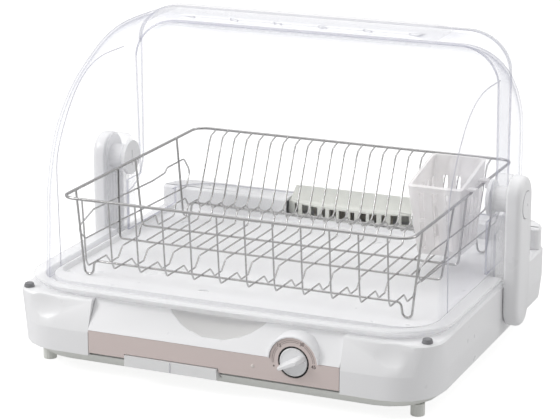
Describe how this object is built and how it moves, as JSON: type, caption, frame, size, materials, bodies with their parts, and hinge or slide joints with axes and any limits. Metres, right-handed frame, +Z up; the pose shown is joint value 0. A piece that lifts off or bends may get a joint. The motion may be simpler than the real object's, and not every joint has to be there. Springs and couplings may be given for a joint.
{
  "type": "electric dish dryer",
  "caption": "Countertop electric dish dryer: a white case with a timer dial and a drip tray, and a clear swing-back cover over a wire dish rack with a cutlery basket.",
  "frame": {"origin": "on the ground under the middle of the bounding box", "axes": "+X to the right along the front, +Y to the rear, +Z up"},
  "size_m": [0.491, 0.399, 0.3425],
  "materials": {
    "white_plastic": "smooth moulded white",
    "pale_plastic": "satin pale grey",
    "taupe_plastic": "satin taupe",
    "dark_plastic": "matt black",
    "rubber": "matt dark grey",
    "clear_plastic": "clear, faint violet tint",
    "smoke_plastic": "translucent grey",
    "outlet_plastic": "satin pale grey green",
    "stainless": "bright drawn stainless wire",
    "zinc_steel": "plain steel",
    "mica": "bare insulating board"
  },
  "bodies": {
    "base": {"rear_cover": "clear_plastic", "upper_case": "white_plastic", "lower_case": "pale_plastic", "rear_housing": "white_plastic", "foot_front_left": "pale_plastic", "foot_front_right": "pale_plastic", "foot_rear_left": "pale_plastic", "foot_rear_right": "pale_plastic", "bumper_left": "rubber", "bumper_right": "rubber", "front_panel": "white_plastic", "trim_strip": "taupe_plastic", "dial_seat": "dark_plastic", "timer_unit": "dark_plastic", "tower_left": "white_plastic", "tower_right": "white_plastic", "tower_cap_left": "white_plastic", "tower_cap_right": "white_plastic", "hub_pin_left": "white_plastic", "hub_pin_right": "white_plastic", "air_outlet_cover": "outlet_plastic", "fan_motor": "zinc_steel", "fan_housing": "pale_plastic", "heater_board": "mica", "heater_coil": "zinc_steel"},
    "cover": {"front_cover": "clear_plastic", "cover_rim": "clear_plastic", "vent_hood": "clear_plastic", "hinge_arm_left": "clear_plastic", "hinge_arm_right": "clear_plastic"},
    "knob": {"timer_knob": "white_plastic"},
    "tray": {"drip_tray": "smoke_plastic"},
    "fan": {"motor_shaft": "zinc_steel", "fan_impeller": "dark_plastic"},
    "rack": {"wire_rack": "stainless"},
    "basket": {"cutlery_basket": "white_plastic"}
  },
  "joints": [
    {"name": "cover_hinge", "type": "hinge", "parent": "base", "child": "cover", "pos_m": [0, 0.051, 0.1655], "axis": [-1, 0, 0], "range_deg": [0, 95]},
    {"name": "knob_turn", "type": "hinge", "parent": "base", "child": "knob", "pos_m": [0.088, -0.188, 0.0494], "axis": [0, 1, 0], "range_deg": [0, 210]},
    {"name": "tray_slide", "type": "slide", "parent": "base", "child": "tray", "axis": [0, -1, 0], "range_m": [0, 0.06]},
    {"name": "fan_spin", "type": "hinge", "parent": "base", "child": "fan", "pos_m": [0.006, 0.104, 0.04], "axis": [0, 0, 1], "continuous": true},
    {"name": "rack_lift", "type": "slide", "parent": "base", "child": "rack", "axis": [0, 0, 1], "range_m": [0, 0.03]},
    {"name": "basket_lift", "type": "slide", "parent": "rack", "child": "basket", "axis": [0, 0, 1], "range_m": [0, 0.06]}
  ]
}
